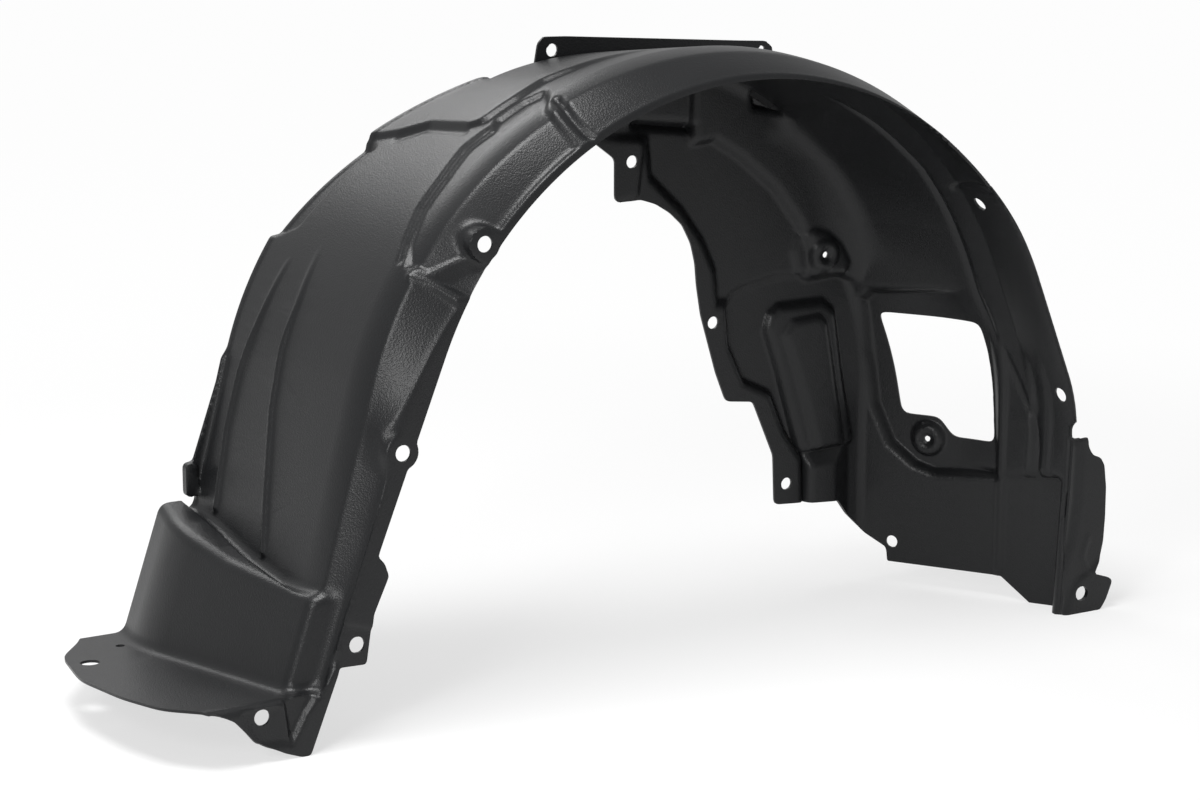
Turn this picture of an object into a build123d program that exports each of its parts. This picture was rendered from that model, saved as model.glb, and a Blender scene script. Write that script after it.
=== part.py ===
from build123d import *
import os
from math import cos, degrees, radians, sin, tan

# Frame while modelling: the wheel axis runs along Y through x = 0, the floor is z = 0, the wing edge of
# the liner lies in the plane y = 0, the front leg is at -X and the engine side at +Y.

# Moulded sheet
wall = 2.5
below_floor = 30.0

# Wing edge round the wheel opening
axle_height = 208.0
lip_radius = 350.0
leg_splay = 22.0
knee_height = 210.0
knee_tuck = 13.0
lip_flange = 14.0

# Shoulder and band, which stand off centre towards the front leg
shoulder_depth = 60.0
shoulder_radius = 376.0
shoulder_shift = -30.0
shoulder_steps = 5
band_splay = 15.0
band_steps = 4
far_depth = 300.0
far_radius = 343.7
far_shift = -62.3

# Engine side wall, from the top to the rear leg
wall_depth = 205.0
wall_start = -160.0
narrowing_start = -346.0
field_step = 8.0
arc_step_radius = 289.0
hump_rise = 9.0
hump_top_rise = 4.0
hump_top_inset = 11.0
block_rise = 16.0

# Slanted panel between that wall and the rear leg
panel_radius = 278.0
panel_slope = 0.62
panel_top_angle = 57.0
panel_floor = 30.0
panel_lip_depth = 87.0
panel_recess = 6.0
recess_along = (4.0, 136.0)
recess_up = (140.0, 314.0)
recess_cut = (30.0, 70.0)

# Window in that panel, measured along it from its ridge and up from the floor
window_along = (8.0, 132.0)
window_up = (159.0, 283.0)
window_lean = (20.0, 11.0)
window_notch = (68.0, 178.0)
window_notch_run = 16.0
window_round = 11.0

# Foot of the front leg: a block that grows wider towards the engine side, on a flange
foot_flange_height = 54.0
foot_flange_fall = 2.3
block_near = (-475.0, 18.0)
block_far = (-515.0, 236.0)
block_end = (-503.0, 300.0)
block_lean = 19.0
block_top_near = 124.0
block_top_far = 163.0
block_round = 10.0

# Beads up the front leg, each through three points given as depth and height
near_bead = ((148.0, 128.0), (176.0, 245.0), (206.0, 402.0))
far_bead = ((242.0, 128.0), (250.0, 245.0), (262.0, 388.0))
bead_width = 9.0
bead_height = 4.0

# Beads down the rear leg, which stand towards the wheel
rear_bead_depths = (34.0, 52.0)
rear_bead_width = 7.0
rear_bead_height = 3.0
rear_bead_ends = (38.0, 300.0)

# Dropped field beside the wing edge, and the fold that crosses the band above it
drop = 6.0
drop_start = 8.0
fold_height = 4.0
fold_width = 12.0

# Edge flanges and ears
edge_flange = 12.0
edge_flange_foot = 175.0
ear_radius = 15.0
ear_depth = 8.0
boss_radius = 14.0
boss_height = 6.0

# Fastening holes
edge_hole = 15.0
wall_hole = 12.5
foot_hole = 18.0
boss_hole = 7.0
lip_ears = ((-367.5, 258.0), (-285.0, 434.0))
wall_holes = ((-13.0, 458.0), (82.0, 291.0), (171.0, 117.0))
wall_boss = (212.0, 347.0)
panel_boss = (58.0, 155.0)
panel_hole = (24.0, 45.0)
lip_holes = ((17.0, 223.0), (41.0, 416.0))
foot_tab_hole = (-506.0, 41.0)
leg_tab_hole = (-414.0, 92.0)
rear_tab_hole = (389.0, 20.0)
top_tab_holes = ((-100.0, 570.0), (135.0, 556.0))
foot_pad_hole = (-576.0, 215.0)


def leg_start(radius, shift, splay, side):
    """Point where a straight leg leaves the round top, on the front (-1) or the rear (+1)."""
    angle = radians(splay)
    return shift + side * radius * cos(angle), axle_height + radius * sin(angle)


def arch_face(depth, radius, shift, splay, inset=0.0):
    """Closed outline of the arch at one depth: straight legs, a round top and a knee in the rear leg."""
    front = leg_start(radius - inset, shift, splay, -1)
    rear = leg_start(radius - inset, shift, leg_splay, 1)
    top = (shift, axle_height + radius - inset)
    front_foot = (front[0] - (front[1] + below_floor) * tan(radians(splay)), -below_floor)
    full_rear = leg_start(radius, shift, leg_splay, 1)
    knee_x = full_rear[0] + (full_rear[1] - knee_height) * tan(radians(leg_splay)) - inset
    knee = (knee_x, rear[1] - (knee_x - rear[0]) / tan(radians(leg_splay)))
    rear_foot = (knee_x - knee_tuck, -below_floor)
    with BuildSketch(Plane.XZ.offset(-depth)) as outline:
        with BuildLine():
            Line(front_foot, front)
            ThreePointArc(front, top, rear)
            Polyline(rear, knee, rear_foot, front_foot)
        make_face()
    return outline.sketch


def shoulder_face(step, inset=0.0):
    """Outline at one step of the shoulder, which rounds like a quarter ellipse from the lip to the band."""
    angle = radians(90 * step / shoulder_steps)
    rise = sin(angle)
    lip = (lip_radius + lip_flange / 2, -lip_flange / 2, leg_splay)
    band = (shoulder_radius, shoulder_shift, band_splay)
    radius, shift, splay = (a + (b - a) * rise for a, b in zip(lip, band))
    return arch_face(shoulder_depth * (1 - cos(angle)), radius, shift, splay, inset)


def band_face(step, inset=0.0):
    """Outline at one step of the band, which tapers evenly from the shoulder to the far side."""
    near = (shoulder_depth, shoulder_radius, shoulder_shift)
    far = (far_depth, far_radius, far_shift)
    depth, radius, shift = (a + (b - a) * step / band_steps for a, b in zip(near, far))
    return arch_face(depth, radius, shift, band_splay, inset)


def arch_form(inset=0.0):
    """Solid inside the arch, in strips from the wing edge over the rounded shoulder to the far side."""
    outlines = [shoulder_face(step, inset) for step in range(shoulder_steps + 1)]
    outlines += [band_face(step, inset) for step in range(1, band_steps + 1)]
    return loft(outlines, ruled=True)


def rear_leg_at(depth, height):
    """Point on the outside of the rear leg's shoulder at one depth and height."""
    rise = (1 - (1 - depth / shoulder_depth) ** 2) ** 0.5
    lip = lip_radius + lip_flange / 2
    radius = lip + (shoulder_radius - lip) * rise
    shift = shoulder_shift * rise
    start = leg_start(radius, shift, leg_splay, 1)
    straight = start[0] + (start[1] - height) * tan(radians(leg_splay))
    curved = shift + (radius ** 2 - (height - axle_height) ** 2) ** 0.5
    return Vector(straight if height < start[1] else curved, depth, height)


def arch_space():
    """Space inside the sheet: open at the far side, and behind the flat lip only the wheel opening."""
    far = arch_face(far_depth, far_radius, far_shift, band_splay, wall)
    opening = arch_face(-5, lip_radius, 0, leg_splay)
    behind_lip = arch_form(wall) - Pos(0, wall / 2, 200) * Box(1500, wall, 1000)
    return behind_lip + extrude(far, -5) + extrude(opening, -5 - wall)


def outline_face(points, corner=0.0, grow=0.0):
    """Closed outline through a few points, with rounded corners, grown by a margin."""
    with BuildSketch() as outline:
        with BuildLine():
            Polyline(*points, close=True)
        make_face()
        if corner:
            fillet(outline.vertices(), corner)
        if grow:
            offset(amount=grow, kind=Kind.INTERSECTION)
    return outline.sketch


def slab(face, near, far):
    """Solid between two depths, from an outline drawn in x and z."""
    return extrude(Plane.XZ.offset(-near) * face, near - far)


def far_side(shift=0.0):
    """Everything on the wing side of the far edge, which comes nearer towards the top."""
    leg, top = far_depth + shift, wall_depth + shift
    points = [(-700, -60), (-700, leg), (narrowing_start, leg), (wall_start, top), (700, top), (700, -60)]
    return extrude(Pos(0, 0, -below_floor - 10) * outline_face(points), 700)


def panel_cut(inset=0.0):
    """Space outside the slanted panel: a cone round the top of the rear leg, then straight down."""
    start = panel_radius - inset
    reach = 150.0
    points = [(start + panel_slope * (wall_depth + 5), -5), (start - panel_slope * reach, wall_depth + reach),
              (700, wall_depth + reach), (700, -5)]
    section = Pos(0, 0, axle_height) * outline_face(points)
    end_wall = degrees(inset / panel_radius)
    cone = revolve(section, Axis((0, 0, axle_height), (0, -1, 0)), panel_top_angle + end_wall)
    return cone + extrude(section, -axle_height - below_floor - 10)


def panel_frame(out=0.0):
    """Plane on the slanted panel: x runs along it from its ridge, y up from the floor, z to the wheel."""
    length = (1 + panel_slope ** 2) ** 0.5
    origin = (panel_radius + out / length, wall_depth + out * panel_slope / length, 0)
    return Plane(origin=origin, x_dir=(panel_slope, -1, 0), z_dir=(-1, -panel_slope, 0))


def box_between(along, up, grow=0.0):
    """Corner points of an upright rectangle, grown by a margin."""
    a, b = along[0] - grow, along[1] + grow
    c, d = up[0] - grow, up[1] + grow
    return [(a, c), (b, c), (b, d), (a, d)]


def recess_outline():
    """Corner points of the panel's recess, an upright rectangle with its low corner by the ridge cut off."""
    (left, right), (low, high) = recess_along, recess_up
    return [(left, high), (left, low + recess_cut[1]), (left + recess_cut[0], low), (right, low), (right, high)]


def field_face(grow):
    """Field of the engine side wall that is set back inside its rim and the arc step."""
    lower = outline_face([(194, 60), (190, 142), (163, 212), (120, 232), (102, 315), (310, 315), (310, 60)],
                         grow=grow)
    upper = outline_face([(100, 300), (96, 345), (66, 405), (66, 505), (310, 505), (310, 300)], grow=grow)
    inside = Pos(0, axle_height) * Circle(arc_step_radius + grow)
    return lower + (upper & inside)


def hump_face(grow, corner=16):
    """Hump that stands up from the field, narrower towards its foot."""
    return outline_face([(152, 300), (250, 300), (258, 142), (190, 142), (154, 262)], corner, grow)


def hump_top_face(grow):
    """Upper step of the hump, set in from its edge."""
    return hump_face(grow - hump_top_inset, 0)


def block_face(grow):
    """Small block at the lower end of the hump."""
    return outline_face([(196, 152), (238, 152), (242, 40), (200, 40)], 7, grow)


def foot_block(inset=0.0):
    """Block on the outside of the front leg, leaning with the leg under a sloping top."""
    inner_x = -400
    plan = outline_face([block_near, (inner_x, block_near[1]), (inner_x, block_end[1] + 40),
                         (block_end[0], block_end[1] + 40), block_end, block_far], 0, -inset)
    plan = fillet(plan.vertices().sort_by(Axis.X)[:3], block_round)
    lean = (tan(radians(block_lean)), 0, 1)
    up = Pos(0, 0, foot_flange_height) * plan
    block = extrude(up, 160, dir=lean) + extrude(up, 60, dir=(-lean[0], 0, -1))
    rise = (block_top_far - block_top_near) / (block_far[1] - block_near[1])
    near_top = block_top_near - inset - rise * (block_near[1] + 60)
    side = outline_face([(-60, -below_floor), (-60, near_top), (400, near_top + rise * 460), (400, -below_floor)])
    return block & extrude(Plane.YZ.offset(-700) * side, 400)


def strip_face(path, width):
    """Strip of one width along a path of straight runs."""
    return trace(Polyline(*path), width)


def bead(path, inset):
    """One bead up the front leg, pressed through the sheet from inside."""
    width = bead_width - inset
    strip = Plane.YZ.offset(-600) * strip_face(path, width)
    return arch_form(inset - bead_height) & extrude(strip, 300)


def rear_beads(inset):
    """Layer that the beads down the rear leg take off the outside of the sheet."""
    half = rear_bead_width / 2 + inset - wall
    skin = arch_form(inset) - arch_form(inset + rear_bead_height)
    height = box_between((250, 450), rear_bead_ends)
    strips = [slab(outline_face(height), depth - half, depth + half) for depth in rear_bead_depths]
    return skin & (strips[0] + strips[1])


def drop_field(inset):
    """Layer that the dropped field takes off the shoulder and the band."""
    points = [(-338, 48), (-298, 72), (-236, 96), (-172, 104), (-190, 72), (-196, drop_start),
              (-318, drop_start), (-330, 28)]
    prism = extrude(outline_face(points, 6, inset), 700)
    return (arch_form(inset) - arch_form(inset + drop)) & prism


def fold(inset):
    """Raised fold across the band, which turns and runs on above the dropped field."""
    path = [(-248, 262), (-226, 110), (-110, 92)]
    strip = extrude(strip_face(path, fold_width - inset), 700)
    return arch_form(inset - fold_height) & strip & Pos(0, 0, axle_height + 400) * Box(1200, 900, 800)


def form(inset=0.0):
    """Outer form of the liner, or with the wall as inset the space inside it."""
    solid = arch_space() if inset else arch_form()
    solid -= drop_field(inset)
    room = far_side(-inset)
    if inset:
        room += Box(500, 1000, 900).moved(Location((wall_start - 250, 0, 300)))
    solid += bead(near_bead, inset) + bead(far_bead, inset) + fold(inset)
    solid -= rear_beads(inset)
    solid += foot_block(inset)
    solid = solid & room
    back = wall_depth - inset
    solid += slab(field_face(wall - inset), back - 15, back + field_step)
    solid -= slab(hump_face(inset), back + field_step - hump_rise, back + field_step + 5)
    hump_top = back + field_step - hump_rise - hump_top_rise
    solid -= slab(hump_top_face(inset), hump_top, back + field_step)
    solid -= slab(block_face(inset), back + field_step - block_rise, back + field_step + 5)
    solid -= panel_cut(inset)
    recess = outline_face(recess_outline(), 8, wall - inset)
    solid += extrude(panel_frame(panel_recess - inset) * recess, 20)
    return solid


def mouth():
    """Opening inside the rim of the engine side wall, drawn round its fastening tabs."""
    points = [(wall_start - 5, -40), (wall_start - 5, 508), (-64, 486), (-32, 462), (-32, 421), (4, 418),
              (42, 384), (63, 345), (68, 300), (86, 240), (98, 210), (130, 206), (155, 148), (157, 97),
              (232, 92), (292, 30), (292, -40)]
    return slab(outline_face(points, 8), 60, 260)


def window():
    """Window in the slanted panel, with its lower corner stepped up round a boss."""
    (left, right), (low, high) = window_along, window_up
    notch_end, notch_top = window_notch
    points = [(left + window_lean[0], notch_top), (notch_end, notch_top), (notch_end + window_notch_run, low),
              (right, low), (right - window_lean[1], high), (left, high)]
    return extrude(panel_frame(20) * outline_face(points, window_round), 40)


def hole(centre, diameter, depth):
    """Cutter for a hole along Y through whatever stands at one depth."""
    return slab(Pos(*centre) * Circle(diameter / 2), depth - 12, depth + 12)


def plate(points, near, corner):
    """Flat plate of the sheet's thickness, facing the wing."""
    return slab(outline_face(points, corner), near, near + wall)


def lip_plates():
    """Flat tabs in the plane of the wing edge, and the wide foot of the rear leg."""
    plates = plate([(-434, 74), (-405, 73), (-398, 118), (-383, 150), (-387, 162), (-400, 176), (-424, 160)], 0, 5)
    plates += plate([(-556, 50), (-536, 36), (-514, 18), (-486, 5), (-468, 0), (-455, 0), (-436, 60), (-540, 60)],
                    0, 3)
    plates += plate([(357, 178), (392, 178), (398, 162), (412, 154), (414, 95), (406, 46), (429, 32), (415, 0),
                     (364, 0)], 0, 4)
    return plates


def top_plate():
    """Upright flange over the far edge at the top, part of the engine side wall's plane."""
    return plate([(-122, 545), (-115, 583), (-84, 582), (112, 566), (146, 563), (148, 550), (120, 500), (-60, 520)],
                 wall_depth - wall, 4)


def far_flange():
    """Flange turned outwards along the far edge of the front leg."""
    strip = (arch_form(-edge_flange) - arch_form(wall / 2)) & (far_side() - far_side(-wall))
    keep = outline_face([(-600, edge_flange_foot), (-600, 530), (-245, 530), (-245, edge_flange_foot)])
    return strip & slab(keep, 150, far_depth + 5)


def foot_flange():
    """Flange round the foot block, falling slightly to the far side, with a return under its far end."""
    points = [(-552, 0), (-584, 37), (-598, 92), (-605, 165), (-602, 185), (-589, 248), (-562, 286),
              (-530, far_depth + 1), (-440, far_depth + 1), (-440, 0)]
    flat = extrude(outline_face(points, 6), -wall)
    flat = Pos(0, 0, foot_flange_height) * Rot(-foot_flange_fall, 0, 0) * flat
    stand = plate([(-536, 0), (-536, 43), (-500, 62), (-430, 62), (-430, 0)], far_depth - wall, 5)
    return ((flat - form(wall)) & far_side()) + stand


def bosses(shell):
    """Round bosses that stand towards the wheel on the engine side wall and the slanted panel."""
    face = wall_depth - wall + field_step
    shell += slab(Pos(*wall_boss) * Circle(boss_radius), face - boss_height, face + wall / 2)
    shell -= hole(wall_boss, boss_hole, face)
    disc = Pos(*panel_boss) * Circle(boss_radius)
    shell += extrude(panel_frame(panel_recess - wall / 2) * disc, boss_height + wall / 2)
    shell -= extrude(panel_frame(20) * Pos(*panel_boss) * Circle(boss_hole / 2), 40)
    return shell


def drill(shell):
    """Fastening holes, each along the way its screw goes in."""
    for centre in lip_ears + (foot_tab_hole, leg_tab_hole, rear_tab_hole):
        shell -= hole(centre, edge_hole, 0)
    for centre in wall_holes + top_tab_holes:
        shell -= hole(centre, wall_hole, wall_depth)
    shell -= extrude(panel_frame(20) * Pos(*panel_hole) * Circle(wall_hole / 2), 40)
    for depth, height in lip_holes:
        point = rear_leg_at(depth, height)
        across = rear_leg_at(depth + 5, height) - point
        outward = across.cross(rear_leg_at(depth, height + 5) - point).normalized()
        shell -= Solid.make_cylinder(edge_hole / 2, 60, Plane(point - outward * 30, z_dir=outward))
    drop_hole = Cylinder(foot_hole / 2, 60)
    return shell - Pos(foot_pad_hole[0], foot_pad_hole[1], foot_flange_height) * drop_hole


def trim(shell):
    """Cuts the sheet to its lower edges: the floor, the panel's foot and the open leg under the flange."""
    shell -= Pos(0, 150, -below_floor) * Box(1500, 900, 2 * below_floor)
    shell -= Pos(400, panel_lip_depth + 200, 0) * Box(400, 400, 2 * panel_floor)
    leg_end = foot_flange_height - foot_flange_fall
    return shell - Pos(-460, far_depth / 2 + 15, 0) * Box(200, far_depth, 2 * leg_end - 20)


outer = form()
inner = form(wall)
liner = outer - inner
for centre in lip_ears:
    liner += slab(Pos(*centre) * Circle(ear_radius), 0, ear_depth)
    liner -= slab(Pos(*centre) * Circle(ear_radius - wall), wall, ear_depth + 40)
liner = trim(liner) - mouth() - window()
liner += lip_plates()
liner += top_plate()
liner += far_flange()
liner += foot_flange()
liner = drill(bosses(liner))

box = liner.bounding_box()
liner = liner.moved(Location((-box.center().X, -box.center().Y, -box.min.Z)))

os.makedirs("parts", exist_ok=True)
export_step(liner, "parts/liner.step")
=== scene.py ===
import math

import bpy
import numpy as np
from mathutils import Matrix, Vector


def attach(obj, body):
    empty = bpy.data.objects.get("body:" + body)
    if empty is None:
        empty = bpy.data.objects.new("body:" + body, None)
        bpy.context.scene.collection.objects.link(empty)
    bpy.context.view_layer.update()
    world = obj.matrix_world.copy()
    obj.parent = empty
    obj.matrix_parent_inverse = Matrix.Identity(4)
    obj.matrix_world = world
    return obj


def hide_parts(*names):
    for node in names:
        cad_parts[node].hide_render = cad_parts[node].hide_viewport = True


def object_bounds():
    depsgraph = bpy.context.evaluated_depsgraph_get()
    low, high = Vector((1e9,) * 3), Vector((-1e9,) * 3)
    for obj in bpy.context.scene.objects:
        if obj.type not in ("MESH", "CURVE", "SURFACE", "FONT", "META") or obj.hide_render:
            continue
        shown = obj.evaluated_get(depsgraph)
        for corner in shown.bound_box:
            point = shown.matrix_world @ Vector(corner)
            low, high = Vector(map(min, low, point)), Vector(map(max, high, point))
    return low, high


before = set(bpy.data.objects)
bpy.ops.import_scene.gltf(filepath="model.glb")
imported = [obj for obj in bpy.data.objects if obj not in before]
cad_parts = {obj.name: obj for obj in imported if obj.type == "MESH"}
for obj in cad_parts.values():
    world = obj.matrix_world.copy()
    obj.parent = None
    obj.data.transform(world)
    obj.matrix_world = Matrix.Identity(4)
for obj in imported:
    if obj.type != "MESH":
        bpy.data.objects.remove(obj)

cad_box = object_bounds()
bpy.context.scene.view_settings.view_transform = "Standard"

# The camera stands low in front of the wing edge, to the left of the wheel's axle, with a long lens.
# It is set first, so that every outline below can be held against the same view.
camera_data = bpy.data.cameras.new("camera")
camera_data.lens = 102
camera_data.sensor_width = 36
camera_data.clip_end = 50
camera = bpy.data.objects.new("camera", camera_data)
camera.location = (-1.6055, -2.688, 0.955)
camera.rotation_euler = (math.radians(90 - 12.8), 0, math.radians(-31))
bpy.context.scene.collection.objects.link(camera)
bpy.context.scene.camera = camera


# LINER. One sheet of black polypropylene, about 2.5 mm thick, pressed hot over a mould: arch, shoulder,
# engine side wall, slanted panel and foot are one skin, rounded wherever two faces meet.
# Lengths here are millimetres from the point under the axle in the plane of the wing edge.
wall = 2.5
axle_height = 208.0
lip_radius = 350.0
leg_splay = math.radians(22)
floor_point = np.array([-88.5, 149.95, 0.0])


def soft_min(a, b, width):
    """Smaller of two distances, rounded where they meet."""
    near = np.maximum(width - np.abs(a - b), 0) / width
    return np.minimum(a, b) - near * near * width / 4


def soft_max(a, b, width):
    return -soft_min(-a, -b, width)


def ramp(distance, run):
    """1 inside an outline and 0 outside it, with a smooth slope of that run on the line."""
    part = np.clip(0.5 - distance / run, 0, 1)
    return part * part * (3 - 2 * part)


def outline(u, v, points):
    """Distance to a closed outline, negative inside it."""
    nearest = np.full(u.shape, 1e9)
    inside = np.zeros(u.shape, bool)
    for (au, av), (bu, bv) in zip(points, points[1:] + points[:1]):
        eu, ev = bu - au, bv - av
        wu, wv = u - au, v - av
        part = np.clip((wu * eu + wv * ev) / (eu * eu + ev * ev), 0, 1)
        nearest = np.minimum(nearest, (wu - eu * part) ** 2 + (wv - ev * part) ** 2)
        above, below, left = v >= av, v < bv, eu * wv > ev * wu
        inside ^= (above & below & left) | (~above & ~below & ~left)
    return np.where(inside, -1, 1) * np.sqrt(nearest)


def line(u, v, points):
    """Distance to an open line."""
    nearest = np.full(u.shape, 1e9)
    for (au, av), (bu, bv) in zip(points, points[1:]):
        eu, ev = bu - au, bv - av
        wu, wv = u - au, v - av
        part = np.clip((wu * eu + wv * ev) / (eu * eu + ev * ev), 0, 1)
        nearest = np.minimum(nearest, (wu - eu * part) ** 2 + (wv - ev * part) ** 2)
    return np.sqrt(nearest)


def step(edge, high, slope):
    """A step of that height inside an outline, which rises over that width on its line."""
    return high * ramp(edge, slope)


def ridge(middle, high, half_width, slope):
    """A ridge or groove of that height along a line."""
    return high * ramp(middle - half_width, slope)


def eased(value, start, length):
    """0 up to a start, then even growth to 1 over that length."""
    return np.clip((value - start) / length, 0, 1)


class Chart:
    """Heights drawn on a flat sheet a millimetre apart, softened, and read between the points."""

    def __init__(self, low, high, draw, soften=0):
        self.low = low
        u = np.arange(low[0], high[0] + 1.0)
        v = np.arange(low[1], high[1] + 1.0)
        self.grid = draw(*np.meshgrid(u, v, indexing="ij"))
        for _ in range(3 if soften else 0):
            for axis in (0, 1):
                margins = [(soften + 1, soften) if a == axis else (0, 0) for a in (0, 1)]
                padded = np.pad(self.grid, margins, "edge")
                total = np.cumsum(padded, axis)
                size = 2 * soften + 1
                ahead = np.take(total, range(size, total.shape[axis]), axis)
                behind = np.take(total, range(0, total.shape[axis] - size), axis)
                self.grid = (ahead - behind) / size

    def __call__(self, u, v):
        a = np.clip(u - self.low[0], 0, self.grid.shape[0] - 1.001)
        b = np.clip(v - self.low[1], 0, self.grid.shape[1] - 1.001)
        i, j = a.astype(int), b.astype(int)
        fa, fb = a - i, b - j
        g = self.grid
        return ((g[i, j] * (1 - fa) + g[i + 1, j] * fa) * (1 - fb)
                + (g[i, j + 1] * (1 - fa) + g[i + 1, j + 1] * fa) * fb)


# Arch and shoulder: a half round over the tyre with straight legs. The wing edge is the tightest curve,
# and the sheet swells from it over a rounded shoulder to a band that narrows towards the engine side.
shoulder_depth = 60.0
shoulder_lip = (358.5, -6.0, 22.0)
shoulder_band = (376.0, -30.0, 15.0)
band_draw_in = 32.3 / 240
knee_height = 210.0
knee_tuck, knee_fall, knee_round = 13.0, 245.0, 16.0
far_depth = 300.0
wall_depth = 205.0
narrowing_start, wall_start = -346.0, -160.0


def round_arch(x, z, radius, shift, splay):
    """Distance outside an arch with straight legs, and the run along it, below zero to the front."""
    px, pz = x - shift, z - axle_height
    down_front = -px * np.sin(splay) - pz * np.cos(splay)
    down_rear = px * math.sin(leg_splay) - pz * math.cos(leg_splay)
    front = (px < 0) & (down_front > 0)
    rear = (px >= 0) & (down_rear > 0)
    out = np.hypot(px, pz) - radius
    out = np.where(front, -px * np.cos(splay) + pz * np.sin(splay) - radius, out)
    leg = px * math.cos(leg_splay) + pz * math.sin(leg_splay) - radius
    out = np.where(rear, leg, out)
    knee = shift + radius * math.cos(leg_splay)
    knee = knee + (axle_height + radius * math.sin(leg_splay) - knee_height) * math.tan(leg_splay)
    tuck = x - knee + knee_tuck * (knee_height - z) / knee_fall
    out = np.where(px >= 0, soft_max(out, tuck, knee_round), out)
    run = radius * np.arctan2(px, pz)
    run = np.where(front, -(radius * (math.pi / 2 - splay) + down_front), run)
    run = np.where(rear, radius * (math.pi / 2 - leg_splay) + down_rear, run)
    return out, run


def arch_at(x, y, z):
    """The arch at its own depth, and how far the shoulder has turned there."""
    turn = 1 - np.clip(y, 0, shoulder_depth) / shoulder_depth
    rise = np.sqrt(1 - turn * turn)
    past = np.maximum(y - shoulder_depth, 0) * band_draw_in
    radius, shift, splay = (lip + (band - lip) * rise for lip, band in zip(shoulder_lip, shoulder_band))
    out, run = round_arch(x, z, radius - past, shift - past, np.radians(splay))
    return out, run, turn, rise


lip_strip, lip_strip_rise = 30.0, 0.866
facet_depth, facet_reach = 25.0, 395.5
shoulder_wider, shoulder_shift = shoulder_band[0] - shoulder_lip[0], shoulder_lip[1] - shoulder_band[1]
leg_turn = 1.2


def draw_band(run, depth):
    """Relief of the band and shoulder, outwards above zero."""
    # over the top of the arch the shoulder leaves the strip along the wing edge at a crease, not in a round
    turn = 1 - np.clip(depth, 0, shoulder_depth) / shoulder_depth
    rise = np.sqrt(1 - turn * turn)
    swell = shoulder_wider - shoulder_shift * np.sin(np.clip(run / shoulder_band[0], -leg_turn, leg_turn))
    strip = -4.5 - 6 * np.sin(np.clip(-run / shoulder_band[0], 0, leg_turn))
    near = np.clip(depth / lip_strip, 0, 1)
    height = (strip * (1 - near) + swell * (lip_strip_rise * near ** 0.85 - rise)) * (depth < lip_strip)
    height = np.minimum(height, 0) * ramp(run - 330, 120)

    # the front leg's shoulder is a flat facet, which ends in a sharp fold
    start = np.interp(run, [-600, -545, -512, -498, -439, -383], [364, 368, 380, 376, 364, 354])
    round_there = shoulder_lip[0] + shoulder_wider * rise + (shoulder_shift * rise - shoulder_lip[1]) * 0.93
    chord = start + (facet_reach - start) * np.maximum(depth, 0) / facet_depth - round_there
    facet = np.minimum(chord, 0) * (depth < facet_depth)
    height += (facet - height) * ramp(run + 380, 5)
    fold = line(run, depth, [(-378, 30), (-374, 12), (-375, -8)])
    height += ridge(fold, high=3.5, half_width=2.5, slope=6)

    # the dark hollow beside that fold, and the dropped field above it with a groove on its far line
    hollow = outline(run, depth, [(-369, 17), (-367, -12), (-324, -12), (-331, 3), (-350, 12)])
    height -= step(hollow, high=9.0, slope=7)
    field = outline(run, depth, [(-371, 40), (-351, 56), (-313, 70), (-278, 74), (-239, 84), (-213, 78),
                                 (-200, 88), (-167, 88), (-150, 80), (-165, 56), (-178, 42), (-188, 12),
                                 (-192, 4), (-322, 4), (-348, 16), (-366, 24)])
    height -= step(field, high=5.5, slope=7)
    groove = line(run, depth, [(-368, 51), (-351, 60), (-313, 74), (-278, 78), (-239, 88), (-214, 83)])
    height -= ridge(groove, high=3.0, half_width=2.5, slope=6)
    end_groove = line(run, depth, [(-163, 44), (-171, 22), (-176, 4)])
    height -= ridge(end_groove, high=5.5, half_width=3.5, slope=6)

    # a fold across the band turns and runs on beside the field: the top of the arch stands higher
    raised = outline(run, depth, [(-218, 250), (-215, 218), (-204, 181), (-211, 114), (-207, 101), (-200, 98),
                                  (-167, 97), (-133, 102), (-104, 97), (60, 97), (60, 340), (-230, 340)])
    height += step(raised, high=5.0, slope=6) * ramp(run + 60, 150)
    foot_of_fold = line(run, depth, [(-222, 215), (-210, 180), (-218, 112)])
    height -= ridge(foot_of_fold, high=2.0, half_width=2, slope=6)

    # two beads run up the front leg and fade towards the top
    for path in ([(-600, 252), (-526, 265), (-469, 264), (-427, 253), (-365, 244)],
                 [(-640, 141), (-587, 160), (-508, 185), (-452, 192), (-406, 191), (-352, 198)]):
        bead = line(run, depth, path)
        height += ridge(bead, high=4.5, half_width=3.5, slope=5) * np.clip((-350 - run) / 90, 0.0, 1)

    # shelf along the far edge under the fold
    shelf = outline(run, depth, [(-332, 290), (-324, 263), (-291, 253), (-254, 249), (-233, 238), (-226, 250),
                                 (-232, 340), (-332, 340)])
    height -= step(shelf, high=6.0, slope=7)

    # rear leg, seen from inside: a crease along the shoulder, two steps low down and a short crossing groove
    crease = line(run, depth, [(190, 122), (259, 104), (326, 93), (399, 93), (474, 94), (536, 84), (584, 66),
                               (607, 55), (637, 47), (760, 50)])
    height += ridge(crease, high=3.5, half_width=2.5, slope=6) * eased(run, 190, 60)
    steps = step(54 - depth, high=7.0, slope=7) + step(34 - depth, high=4.0, slope=6)
    height -= steps * eased(run, 540, 70)
    crossing = line(run, depth, [(352, 68), (340, 34), (330, 8)])
    height += ridge(crossing, high=3.0, half_width=2.0, slope=5)
    return height


band_chart = Chart((-900, -10), (900, 330), draw_band, soften=1)


def far_edge(x):
    """Depth of the far edge, which comes nearer from the front leg to the engine side wall."""
    return far_depth + (wall_depth - far_depth) * eased(x, narrowing_start, wall_start - narrowing_start)


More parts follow.
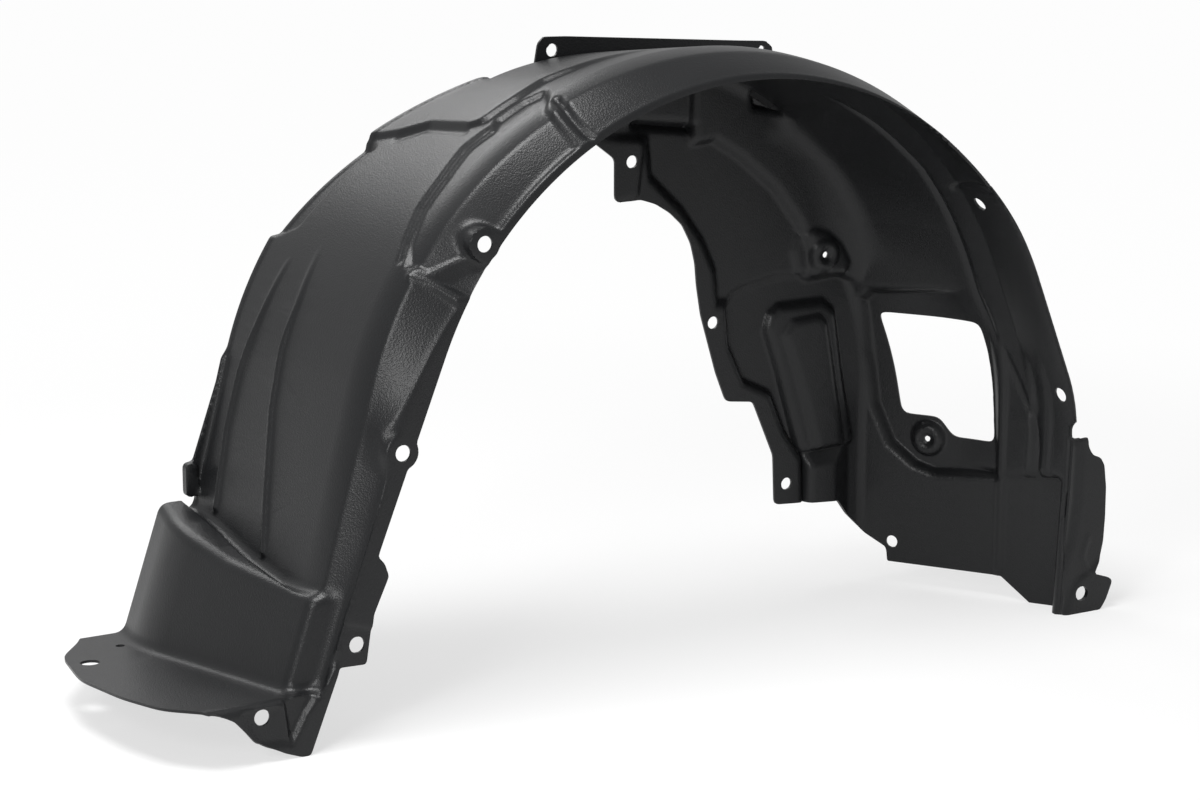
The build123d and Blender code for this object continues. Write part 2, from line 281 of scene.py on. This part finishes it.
# Engine side wall: a flat wall closes the arch on the engine side, from the top to the rear leg. Wide
# fields inside its rim are set back, and a hump and a small block on it stand towards the wheel.
mouth_outline = [(-400, -60), (-400, 512), (-160, 512), (-64, 486), (-32, 462), (-32, 421), (-2, 420),
                 (16, 414), (32, 404), (46, 391), (56, 372), (61, 352), (63, 330), (68, 300), (86, 240),
                 (98, 210), (130, 206), (155, 148), (157, 97), (232, 92), (294, 32), (294, -60)]


def draw_wall(x, z):
    """Relief of the wall, towards the engine above zero."""
    lower = outline(x, z, [(194, 40), (190, 140), (170, 168), (152, 210), (120, 226), (102, 264), (98, 304),
                           (106, 314), (121, 320), (159, 327), (234, 325), (262, 312), (310, 312), (310, 40)])
    upper = outline(x, z, [(-300, 508), (-60, 503), (61, 488), (61, 470), (84, 472), (116, 452), (156, 418),
                           (184, 382), (200, 350), (200, 308), (88, 308), (84, 342), (70, 372), (46, 405),
                           (20, 430), (10, 440), (6, 478), (-60, 484), (-300, 484)])
    height = step(upper, high=7.5, slope=10) * ramp(-30 - x, 90)
    height = np.maximum(height, step(lower, high=10.5, slope=7))
    pockets = np.minimum(outline(x, z, [(-20, 560), (62, 550), (59, 480), (-10, 489)]),
                         outline(x, z, [(116, 550), (215, 540), (195, 484), (171, 489), (127, 499)]))
    height += step(pockets, high=7.0, slope=6)
    top_line = line(x, z, [(108, 316), (121, 321), (159, 328), (234, 326), (252, 317)])
    height += ridge(top_line, high=2.5, half_width=2, slope=6)

    # the hump with the higher pad on it, and the block at its foot, which slopes off on three sides
    hump = outline(x, z, [(149, 276), (153, 290), (163, 297), (216, 297), (229, 286), (238, 228), (253, 150),
                          (190, 148), (180, 180), (164, 233)])
    height -= step(hump, high=9.0, slope=8)
    pad = outline(x, z, [(167, 270), (176, 282), (208, 284), (216, 276), (226, 220), (238, 152), (206, 150),
                         (196, 186), (180, 236)])
    height -= step(pad, high=5.0, slope=8)
    block_high = 15.0
    # each of its slopes: where it starts, and how far it runs
    block = np.minimum(np.minimum((x - 193) / 7, (252 - x) / 24), (153 - z) / 22)
    height -= block_high * np.clip(block, 0, 1)

    # the boss for a screw on its island, and the tab that the upper fastening goes through
    island = outline(x, z, [(179, 352), (184, 366), (200, 372), (216, 367), (232, 354), (242, 336), (236, 324),
                            (200, 320), (184, 332)])
    height -= step(island, high=3.5, slope=6)
    boss = np.hypot(x - 212, z - 347)
    boss_radius, screw_seat = 14, 7.5
    height -= step(boss - boss_radius, high=4.0, slope=5)
    height += step(boss - screw_seat, high=4.0, slope=4)
    tab = outline(x, z, [(-60, 416), (-60, 500), (-6, 500), (0, 470), (-6, 424)])
    height -= step(tab, high=2.5, slope=5)
    return height


wall_chart = Chart((-200, -20), (340, 600), draw_wall, soften=1)


# Slanted panel: between that wall and the rear leg the sheet runs aslant, as a flat panel low down and
# as part of a cone above. A recess with a window and a screw boss is pressed into it.
panel_radius = 278.0
panel_slope = 0.62
panel_length = math.hypot(1, panel_slope)
panel_top_angle = math.radians(57)
cone_draw_in, cone_start, cone_fade = 52, 315, 130


def draw_panel(along, up):
    """Relief of the slanted panel, away from the wheel above zero."""
    recess = outline(along, up, [(-4, 296), (10, 307), (127, 317), (137, 126), (66, 121), (45, 127),
                                 (18, 147), (0, 186), (-8, 244)])
    height = step(recess, high=10.0, slope=8)
    boss = np.hypot(along - 58, up - 155)
    boss_radius, screw_seat = 15, 7.5
    height -= step(boss - boss_radius, high=7.0, slope=6)
    height += step(boss - screw_seat, high=4.0, slope=4)
    rear_bead = line(along, up, [(140, 30), (141, 310)])
    height -= ridge(rear_bead, high=3.0, half_width=3, slope=6)
    return height


panel_chart = Chart((-80, -40), (240, 420), draw_panel, soften=1)


def panel_at(x, y, z):
    """Distance outside the slanted panel, and the place along it."""
    reach = np.where(z > axle_height, np.hypot(x, z - axle_height), x)
    reach = reach - cone_draw_in * eased(z, cone_start, cone_fade)
    along = ((reach - panel_radius) * panel_slope - (y - wall_depth)) / panel_length
    out = (reach - panel_radius - panel_slope * (wall_depth - y)) / panel_length
    return out, along


# Foot: the front leg ends in a block that grows wider towards the engine side. It stands on a flange
# that turns down in front as a plate, where the bumper is fastened.
flange_height, flange_fall = 54.0, 0.04
block_near, block_far, block_end = (-475.0, 18.0), (-515.0, 236.0), (-503.0, 300.0)
block_lean = math.radians(19)
block_top_depths, block_top_heights = [18, 80, 155, 236, 300], [135, 137, 142, 154, 160]
foot_rear = -425.0


def leaning_face(x, y, z, start, end):
    """Distance outside a face of the block over one line of its plan."""
    du, dv = end[0] - start[0], end[1] - start[1]
    length = math.hypot(du, dv)
    du, dv = du / length, dv / length
    across = (x - start[0]) * -dv + (y - start[1]) * du
    return across * math.cos(block_lean) + (z - flange_height) * math.sin(block_lean) * dv


def foot_at(x, y, z, beside):
    """Distance outside the block and the flange under it, with a channel in its top beside the leg."""
    face_round, top_round, flange_round = 12, 9, 10
    near_face = leaning_face(x, y, z, block_near, block_far)
    block = soft_max(near_face, leaning_face(x, y, z, block_far, block_end), face_round)
    block = soft_max(block, block_near[1] - y, face_round)
    channel = step(beside - 10, high=8, slope=9) * eased(y, 30, 60)
    top = z - np.interp(y, block_top_depths, block_top_heights) + channel
    block = soft_max(block, top, top_round)
    flange = soft_max(z - flange_height + flange_fall * y, -y, flange_round)
    return soft_min(block, np.maximum(flange, x - foot_rear), top_round)


# Wing edge: the sheet's near edge lies in one plane against the wing. Low down on the rear leg it widens
# to a flange, dished as a gutter, with a tab at its foot. Two ears for screws stand in on the front leg.
ears = ((-367.5, 258.0), (-285.0, 434.0))
ear_radius, ear_round = 15, 7
flange_room, flange_top, flange_inner, flange_round = 4.4, 178, 345, 4


def draw_front(x, z):
    """Relief of the wing edge, how far the sheet lies behind its plane."""
    gutter = line(x, z, [(380, 176), (378, 116), (372, 76), (359, 44), (352, 30)])
    flange = outline(x, z, [(352, 176), (404, 176), (422, 150), (424, 60), (400, 41), (386, 35), (376, 20),
                            (366, -12), (346, -12), (340, 60)])
    flange_back = 2.0
    depth = (flange_back + ridge(gutter, high=4.5, half_width=2, slope=17)) * ramp(flange, 6)
    crease = line(x, z, [(397, 77), (390, 57), (399, 40)])
    depth -= ridge(crease, high=2.0, half_width=1.0, slope=5)
    pad = outline(x, z, [(344, 30), (362, 30), (366, 14), (362, 1), (344, 5)])
    depth -= step(pad, high=2.0, slope=5)
    hollow = outline(x, z, [(361, 193), (390, 193), (396, 181), (380, 175), (362, 178)])
    depth = np.maximum(depth + step(hollow, high=5.0, slope=6), 0)

    # the foot of the front leg: a set back field beside the block, another round the bumper's hole, and a tab
    beside = outline(x, z, [(-500, 132), (-436, 132), (-434, 79), (-465, 39), (-480, 12), (-486, 57),
                            (-500, 60)])
    plate = outline(x, z, [(-527, 51), (-488, 48), (-485, 27), (-483, 14), (-508, 16), (-520, 35)])
    tab = outline(x, z, [(-433, 112), (-424, 112), (-400, 105), (-392, 107), (-394, 70), (-432, 70)])
    depth = depth + step(beside, high=6.0, slope=6) + step(plate, high=3.0, slope=4)
    return depth + step(tab, high=2.5, slope=3)


front_chart = Chart((-640, -20), (460, 640), draw_front, soften=1)


def liner_form(x, y, z):
    """Distance outside the whole form whose skin is the sheet."""
    out, run, turn, rise = arch_at(x, y, z)
    out = out - band_chart(run, y)
    # where the shoulder turns over, the distance across the sheet is shorter than the one along the radius
    steepest, least_rise = 2.5, 0.12
    steep = np.minimum(0.5 * turn / np.maximum(rise, least_rise), steepest) * (y > 0)
    form = out / np.sqrt(1 + steep * steep)
    for ear_x, ear_z in ears:
        form = soft_min(form, np.hypot(x - ear_x, z - ear_z) - ear_radius, ear_round)
    front = front_chart(x, z)
    foot_round = 9 * np.clip(y / 12, 0.02, 1)
    form = soft_min(np.maximum(form, front - y), foot_at(x, y, z, out), foot_round)

    # the far edge of the front leg is turned up between two heights, with a lug at its foot
    edge_bottom, edge_top, edge_fade, edge_round = 180, 297, 14, 6
    tall = 6 + 7 * np.clip((270 - z) / 80, 0, 1)
    tall = tall * ramp(z - edge_top, edge_fade) * ramp(edge_bottom - z, edge_fade) - 1
    form = soft_min(form, np.maximum(out - tall, far_edge(x) - wall - y), edge_round)
    lug_x, lug_z, lug_half, lug_round, lug_near = -437, 180, 11, 5, 291
    lug = np.hypot(np.maximum(np.abs(x - lug_x) - 1, 0), np.maximum(np.abs(z - lug_z) - lug_half, 0))
    lug = lug - lug_round
    form = soft_min(form, np.maximum(lug, lug_near - y), lug_round)

    # the wall and the slanted panel close the form on the engine side, the cone in a wider round higher up
    wall_round, sector_round = 16, 12
    panel_round = 7 + 26 * eased(z, 320, 60)
    back = np.minimum(y - wall_depth - wall_chart(x, z), x - wall_start)
    form = soft_max(form, back, wall_round)
    slant, along = panel_at(x, y, z)
    slant = slant - panel_chart(along, z)
    sector = x * math.sin(panel_top_angle) - (z - axle_height) * math.cos(panel_top_angle)
    form = soft_max(form, soft_min(slant, sector, sector_round), panel_round)
    flange = np.maximum(y - front - flange_room, np.maximum(z - flange_top, flange_inner - x))
    return np.maximum(soft_min(form, flange, flange_round), front - y)


# The skin is taken off that form as a net of squares 2.5 mm wide, and each point is then moved onto it.
net_step = 2.5
net_low = (-624.0, -9.0, -9.0)
net_high = (444.0, 318.0, 600.0)


def net_over(form, low, high, step, block=4):
    """Net of squares over a form, as points and four-sided faces turned outwards."""
    counts = [int(math.ceil((b - a) / (step * block))) * block for a, b in zip(low, high)]
    axes = [a + step * np.arange(n) for a, n in zip(low, counts)]
    middles = [axis.reshape(-1, block).mean(1) for axis in axes]
    rough = form(*np.meshgrid(*middles, indexing="ij"))
    near = np.abs(rough) < step * block * 2.4
    values = np.where(rough < 0, -1.0, 1.0)
    for axis in range(3):
        near = near.repeat(block, axis)
        values = values.repeat(block, axis)
    places = np.nonzero(near)
    values[places] = form(*(axis[place] for axis, place in zip(axes, places)))
    inside = values < 0
    cells = [n - 1 for n in counts]
    full = np.zeros(cells, np.int8)
    for i in (0, 1):
        for j in (0, 1):
            for k in (0, 1):
                full += inside[i:i + cells[0], j:j + cells[1], k:k + cells[2]]
    number = np.full(cells, -1)
    mixed = (full > 0) & (full < 8)
    number[mixed] = np.arange(mixed.sum())
    total = np.zeros((mixed.sum(), 3))
    hits = np.zeros(mixed.sum())
    faces = []
    for axis in range(3):
        one, two = (axis + 1) % 3, (axis + 2) % 3
        first = np.take(values, range(counts[axis] - 1), axis)
        second = np.take(values, range(1, counts[axis]), axis)
        edge = np.stack(np.nonzero((first < 0) != (second < 0)), 1)
        edge = edge[(edge[:, one] > 0) & (edge[:, one] < cells[one])]
        edge = edge[(edge[:, two] > 0) & (edge[:, two] < cells[two])]
        a, b = first[tuple(edge.T)], second[tuple(edge.T)]
        point = edge * step + np.array(low)
        point[:, axis] += step * a / (a - b)
        corners = []
        for du, dv in ((-1, -1), (0, -1), (0, 0), (-1, 0)):
            cell = edge.copy()
            cell[:, one] += du
            cell[:, two] += dv
            corner = number[tuple(cell.T)]
            corners.append(corner)
            for c in range(3):
                total[:, c] += np.bincount(corner, point[:, c], len(total))
            hits += np.bincount(corner, minlength=len(total))
        face = np.stack(corners, 1)
        faces.append(np.where((a < 0)[:, None], face, face[:, ::-1]))
    return total / hits[:, None], np.concatenate(faces)


def onto(form, points, rounds=3, probe=0.3, furthest=1.5):
    """Points of a net moved onto the form."""
    for _ in range(rounds):
        here = form(*points.T)
        slope = np.stack([(form(*(points + shift).T) - here) / probe for shift in np.eye(3) * probe], 1)
        move = here / np.maximum((slope ** 2).sum(1), 0.25)
        points = points - slope * np.clip(move, -furthest, furthest)[:, None]
    return points


def kept_side(points, corners, room, snap=0.28):
    """The part of a net of triangles where room is above zero, cut cleanly across the others."""
    edges = np.concatenate([corners[:, [0, 1]], corners[:, [1, 2]], corners[:, [2, 0]]])
    edges = edges[(room[edges[:, 0]] > 0) != (room[edges[:, 1]] > 0)]
    part = room[edges[:, 0]] / (room[edges[:, 0]] - room[edges[:, 1]])
    crossing = points[edges[:, 0]] * (1 - part[:, None]) + points[edges[:, 1]] * part[:, None]
    points, room = points.copy(), room.copy()
    for side, near in ((0, part < snap), (1, part > 1 - snap)):
        points[edges[near, side]] = crossing[near]
        room[edges[near, side]] = 0
    held = room[corners] > 0
    count = held.sum(1)
    kept = [corners[count == 3]]
    points, keys, fresh = [points], {}, []

    def cut(a, b):
        low, high = np.minimum(a, b), np.maximum(a, b)
        part = room[low] / (room[low] - room[high])
        names = []
        for i, j, t in zip(low.tolist(), high.tolist(), part.tolist()):
            if (i, j) not in keys:
                keys[i, j] = len(points[0]) + len(fresh)
                fresh.append(points[0][i] * (1 - t) + points[0][j] * t)
            names.append(keys[i, j])
        return np.array(names, int)

    for inside, single in ((1, True), (2, False)):
        some = corners[count == inside]
        odd = np.argmax(held[count == inside] == single, 1)
        rows = np.arange(len(some))
        a, b, c = (some[rows, (odd + k) % 3] for k in range(3))
        ab, ca = cut(a, b), cut(c, a)
        if single:
            kept.append(np.stack([a, ab, ca], 1))
        else:
            kept += [np.stack([ab, b, c], 1), np.stack([ab, c, ca], 1)]
    return np.concatenate([points[0], np.array(fresh).reshape(-1, 3)]), np.concatenate(kept)


# The pressed sheet is trimmed by knife and punch: the wheel opening with its tabs, the opening to the
# hub, the window, the outlines of the flanges and the round holes for the fastenings.
def draw_wing_edge(x, z):
    """Room inside the trimmed outline of the wing edge's plane."""
    opening = round_arch(x, z, lip_radius, 0, leg_splay)[0]
    tab = outline(x, z, [(-440, 74), (-405, 73), (-398, 118), (-383, 150), (-387, 162), (-400, 176),
                         (-440, 176)])
    room = np.maximum(opening, -tab)
    for ear_x, ear_z in ears:
        room = np.maximum(room, ear_radius - np.hypot(x - ear_x, z - ear_z))
    outside = outline(x, z, [(-640, 700), (-640, 53), (-551, 52), (-533, 42), (-514, 21), (-486, 6), (-470, 0),
                             (-300, 0), (355, 0), (413, 0), (420, 10), (427, 27), (425, 31), (404, 38),
                             (411, 50), (415.5, 70), (417, 95), (417, 125), (414, 148), (409, 156),
                             (399, 160), (394, 168), (392, 178), (392, 700)])
    return np.minimum(room, -outside)


wing_edge_chart = Chart((-640, -20), (460, 620), draw_wing_edge, soften=1)


def draw_mouth(x, z):
    """Room outside the opening to the hub, in the engine side wall."""
    return outline(x, z, mouth_outline)


mouth_chart = Chart((-400, -30), (340, 620), draw_mouth, soften=2)
window_chart = Chart((-60, 80), (200, 360), lambda along, up: outline(
    along, up, [(28, 178), (68, 178), (84, 159), (132, 159), (121, 283), (8, 283)]), soften=4)
foot_chart = Chart((-640, -20), (-380, 330), lambda x, y: -outline(
    x, y, [(-552, -40), (-552, 0), (-584, 37), (-598, 92), (-605, 165), (-602, 185), (-589, 248), (-556, 290),
           (-530, 340), (-380, 340), (-380, -40)]), soften=9)

# each hole is a place on the sheet, the way it is punched and its diameter
across, upwards = (0, 1, 0), (0, 0, 1)
panel_out = (1 / panel_length, panel_slope / panel_length, 0)


def panel_point(along, up):
    return (panel_radius + along * panel_slope / panel_length, wall_depth - along / panel_length, up)


ear_hole, edge_hole, wall_hole, screw_hole, foot_hole, small_hole = 15, 15, 12.5, 7, 18, 9
holes = [((-367.5, 0, 258), across, ear_hole), ((-285, 0, 434), across, ear_hole),
         ((-414, 0, 92), across, edge_hole), ((-506, 0, 41), across, edge_hole),
         ((389, 0, 20), across, edge_hole),
         ((-13, 205, 458), across, wall_hole), ((82, 205, 291), across, wall_hole),
         ((171, 205, 117), across, wall_hole), ((212, 208, 347), across, screw_hole),
         (panel_point(24, 45), panel_out, wall_hole), (panel_point(58, 155), panel_out, screw_hole),
         ((372.3, 17, 223), (0.919, 0.134, 0.371), edge_hole),
         ((283.6, 41, 416), (0.827, 0.028, 0.561), edge_hole),
         ((-576, 215, 45), upwards, foot_hole), ((-530, 254, 44), upwards, small_hole)]
punch_reach, punch_steep = 16, 3
edge_reach, edge_steep = 6, 30
wall_near, wall_front, window_reach, panel_front, flange_under = 190, -170, 16, 250, 62
trim_steep = 5


def room_at(x, y, z):
    """How far inside the trimmed outlines a point of the skin lies."""
    # an outline cuts only near its own face: away from it, the room grows steeply
    in_front, front_steep = 0.3, 20
    room = np.minimum(z, (y + in_front) * front_steep)
    behind = np.maximum(y - front_chart(x, z) - edge_reach, 0)
    room = np.minimum(room, wing_edge_chart(x, z) + behind * edge_steep)
    far_strip = 14 * ramp(-150 - x, 16)
    room = np.minimum(room, far_edge(x) + far_strip - y)
    off_wall = np.maximum(wall_near - y, 0) + np.maximum(wall_front - x, 0)
    room = np.minimum(room, mouth_chart(x, z) + off_wall * trim_steep)
    slant, along = panel_at(x, y, z)
    off_panel = np.maximum(np.abs(slant) - window_reach, 0)
    room = np.minimum(room, window_chart(along, z) + off_panel * trim_steep)
    panel_foot = 24 - np.clip(84 - y, 0, 40) * 0.9
    room = np.minimum(room, z - panel_foot + np.maximum(panel_front - x, 0) * trim_steep)
    off_flange = np.maximum(x - foot_rear, 0) + np.maximum(z - flange_under, 0)
    room = np.minimum(room, foot_chart(x, y) + off_flange * trim_steep)
    for centre, axis, diameter in holes:
        w = [c - m for c, m in zip((x, y, z), centre)]
        lengthwise = sum(c * a for c, a in zip(w, axis))
        aside = np.sqrt(np.maximum(sum(c * c for c in w) - lengthwise ** 2, 0))
        off_hole = np.maximum(np.abs(lengthwise) - punch_reach, 0)
        room = np.minimum(room, aside - diameter / 2 + off_hole * punch_steep)
    return room


points, squares = net_over(liner_form, net_low, net_high, net_step)
points = onto(liner_form, points)
corners = np.concatenate([squares[:, [0, 1, 2]], squares[:, [0, 2, 3]]])
points, corners = kept_side(points, corners, room_at(*points.T))

# Top plate: over the top of the arch the engine side wall stands on as an upright plate with two tabs.
plate_outline = [(-122, 540), (-115, 577), (-109, 583), (-84, 582), (112, 566), (140, 564), (147, 558),
                 (149, 548), (149, 480), (-122, 480)]
plate_depth, plate_step, plate_root = 204.3, 3, 7.5
plate_holes = ((-100, 570, 12.5), (135, 556, 8))
plate_x, plate_z = np.meshgrid(np.arange(-130.0, 158.0, plate_step), np.arange(476.0, 590.0, plate_step),
                               indexing="ij")
plate_points = np.stack([plate_x.ravel(), np.full(plate_x.size, plate_depth), plate_z.ravel()], 1)
rows, columns = plate_x.shape
near_corner = (np.arange(rows - 1)[:, None] * columns + np.arange(columns - 1)).ravel()[:, None]
plate_corners = np.concatenate([near_corner + [[0, 1, columns + 1]],
                                near_corner + [[0, columns + 1, columns]]])
plate_room = -outline(plate_points[:, 0], plate_points[:, 2], plate_outline)
plate_room = np.minimum(plate_room, arch_at(*plate_points.T)[0] + plate_root)
for hole_x, hole_z, diameter in plate_holes:
    aside = np.hypot(plate_points[:, 0] - hole_x, plate_points[:, 2] - hole_z)
    plate_room = np.minimum(plate_room, aside - diameter / 2)
plate_points, plate_corners = kept_side(plate_points, plate_corners, plate_room)
corners = np.concatenate([corners, plate_corners + len(points)])
points = np.concatenate([points, plate_points])

# The net is made a mesh in metres, joined, thinned where it is flat and given its wall towards the inside.
used, corners = np.unique(corners, return_inverse=True)
points, corners = points[used], corners.reshape(-1, 3)

mesh = bpy.data.meshes.new("liner_sheet")
mesh.from_pydata((points - floor_point) / 1000, [], corners.tolist())
sheet = bpy.data.objects.new("liner_sheet", mesh)
bpy.context.scene.collection.objects.link(sheet)


def with_modifiers(piece, *changes):
    """Makes modifiers part of the piece's mesh."""
    for kind, settings in changes:
        modifier = piece.modifiers.new(kind, kind)
        for name, value in settings.items():
            setattr(modifier, name, value)
    shown = piece.evaluated_get(bpy.context.evaluated_depsgraph_get())
    made = bpy.data.meshes.new_from_object(shown)
    piece.modifiers.clear()
    piece.data = made


triangle_limit, join_within = 92000, 0.0003
with_modifiers(sheet, ("WELD", {"merge_threshold": join_within}))
if len(sheet.data.polygons) > triangle_limit:
    with_modifiers(sheet, ("DECIMATE", {"ratio": triangle_limit / len(sheet.data.polygons)}))
with_modifiers(sheet, ("SOLIDIFY", {"thickness": wall / 1000, "offset": -1}))
spots = np.empty(len(sheet.data.vertices) * 3)
sheet.data.vertices.foreach_get("co", spots)
spots = np.clip(spots.reshape(-1, 3), cad_box[0], cad_box[1])
sheet.data.vertices.foreach_set("co", spots.ravel())
for polygon in sheet.data.polygons:
    polygon.use_smooth = True
sheet.data.set_sharp_from_angle(angle=math.radians(50))


class Socket:
    """A value of a material, so that sums on it add the material's own maths."""

    def __init__(self, finish, socket):
        self.finish, self.socket = finish, socket

    def maths(self, operation, *values):
        return self.finish.add("ShaderNodeMath", {"operation": operation}, dict(enumerate(values)))

    def __add__(self, other):
        return self.maths("ADD", self, other)

    def __radd__(self, other):
        return self.maths("ADD", other, self)

    def __mul__(self, other):
        return self.maths("MULTIPLY", self, other)

    def __rmul__(self, other):
        return self.maths("MULTIPLY", other, self)


class Finish:
    """A material or a world with one shader, to which nodes are added by type, settings and values."""

    def __init__(self, owner, shader_type="BSDF_PRINCIPLED"):
        owner.use_nodes = True
        self.nodes = owner.node_tree.nodes
        self.links = owner.node_tree.links
        self.shader = next(n for n in self.nodes if n.type == shader_type)

    def add(self, kind, settings=None, inputs=None, output=0):
        node = self.nodes.new(kind)
        for name, value in (settings or {}).items():
            setattr(node, name, value)
        for name, value in (inputs or {}).items():
            self.give(node, name, value)
        return Socket(self, node.outputs[output])

    def give(self, node, name, value):
        if isinstance(value, Socket):
            self.links.new(value.socket, node.inputs[name])
        else:
            node.inputs[name].default_value = value


# The mould's face is etched with a fine leather grain, and the black varies a little from place to place.
black_plastic = bpy.data.materials.new("moulded_black_plastic")
plastic = Finish(black_plastic)
darker_black, lighter_black = (0.0085, 0.0089, 0.0096, 1), (0.0125, 0.0129, 0.0138, 1)
place = plastic.add("ShaderNodeTexCoord", output="Object")
pebbles = plastic.add("ShaderNodeTexVoronoi", {"feature": "SMOOTH_F1"},
                      {"Vector": place, "Scale": 640.0, "Smoothness": 0.6}, "Distance")
creases = plastic.add("ShaderNodeTexNoise", {}, {"Vector": place, "Scale": 900.0, "Detail": 3.0}, "Fac")
clouds = plastic.add("ShaderNodeTexNoise", {}, {"Vector": place, "Scale": 9.0, "Detail": 4.0}, "Fac")
grain = pebbles * 0.7 + creases * 0.5
bump = plastic.add("ShaderNodeBump", {}, {"Strength": 0.4, "Distance": 0.0005, "Height": grain}, "Normal")
plastic.give(plastic.shader, "Normal", bump)
tone = plastic.add("ShaderNodeMix", {"data_type": "RGBA"},
                   {"Factor": clouds, 6: darker_black, 7: lighter_black}, 2)
plastic.give(plastic.shader, "Base Color", tone)
plastic.give(plastic.shader, "Roughness", 0.25 + clouds * 0.08 + creases * 0.08)
plastic.give(plastic.shader, "Specular IOR Level", 0.28)

sheet.data.materials.clear()
sheet.data.materials.append(black_plastic)
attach(sheet, "root")
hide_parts("liner")


# FLOOR and light. A plain pale studio floor takes the soft shadow under the part. To the camera the floor
# and the world are white, and three soft lamps light the plastic from above, from the left and from behind.
floor_mesh = bpy.data.meshes.new("studio_floor")
floor_half = 6
floor_mesh.from_pydata([(-floor_half, -floor_half, 0), (floor_half, -floor_half, 0),
                        (floor_half, floor_half, 0), (-floor_half, floor_half, 0)], [], [(0, 1, 2, 3)])
studio_floor = bpy.data.objects.new("studio_floor", floor_mesh)
bpy.context.scene.collection.objects.link(studio_floor)
pale_paper = bpy.data.materials.new("pale_paper")
paper = Finish(pale_paper)
paper.give(paper.shader, "Base Color", (0.92, 0.92, 0.92, 1))
paper.give(paper.shader, "Roughness", 0.9)


def seen_directly(finish, in_reflection):
    """1 for what the camera sees straight, a part of it in a reflection, 0 for light that only bounces."""
    rays = finish.nodes.new("ShaderNodeLightPath")
    straight, mirrored, through = (Socket(finish, rays.outputs[name]) for name in (
        "Is Camera Ray", "Is Glossy Ray", "Is Transmission Ray"))
    both = straight + (mirrored + through) * in_reflection
    return finish.add("ShaderNodeMath", {"operation": "MINIMUM"}, {0: both, 1: 1.0})


white = paper.add("ShaderNodeEmission", {}, {"Color": (1, 1, 1, 1), "Strength": 1.0})
away = paper.add("ShaderNodeVectorMath", {"operation": "LENGTH"},
                 {0: paper.add("ShaderNodeTexCoord", output="Object")}, "Value")
fade = paper.add("ShaderNodeMapRange", {"interpolation_type": "SMOOTHSTEP"},
                 {"Value": away, "From Min": 0.55, "From Max": 1.7, "To Min": 0.62, "To Max": 0.97})
mixed = paper.add("ShaderNodeMixShader", {}, {0: seen_directly(paper, 0.6) * fade, 2: white})
paper.links.new(paper.shader.outputs[0], mixed.socket.node.inputs[1])
paper.links.new(mixed.socket, next(n for n in paper.nodes if n.type == "OUTPUT_MATERIAL").inputs[0])
floor_mesh.materials.append(pale_paper)

# the world's own light on the part stays low, and what shows of it in the plastic is weaker than white
world = bpy.data.worlds.new("studio")
bpy.context.scene.world = world
studio = Finish(world, "BACKGROUND")
light_on_part = 0.36
studio.give(studio.shader, "Color", (1, 1, 1, 1))
studio.give(studio.shader, "Strength", light_on_part + seen_directly(studio, 0.3) * (1 - light_on_part))


def softbox(name, place, aim, size, power):
    """An area lamp of that width and height in metres, turned to what it aims at."""
    lamp = bpy.data.lights.new(name, "AREA")
    lamp.shape, lamp.size, lamp.size_y, lamp.energy = "RECTANGLE", size[0], size[1], power
    body = bpy.data.objects.new(name, lamp)
    bpy.context.scene.collection.objects.link(body)
    body.location = place
    away = [p - a for p, a in zip(place, aim)]
    body.rotation_euler = (math.atan2(math.hypot(away[0], away[1]), away[2]), 0,
                           math.atan2(away[0], -away[1]))


softbox("top_box", (-0.7, -0.3, 2.4), (0, 0, 0.3), (1.1, 0.8), 50)
softbox("left_box", (-2.3, -1.7, 1.4), (-0.2, 0, 0.2), (0.6, 1.2), 32)
softbox("back_box", (-0.1, 2.3, 1.9), (0, 0, 0.4), (1.6, 0.6), 14)
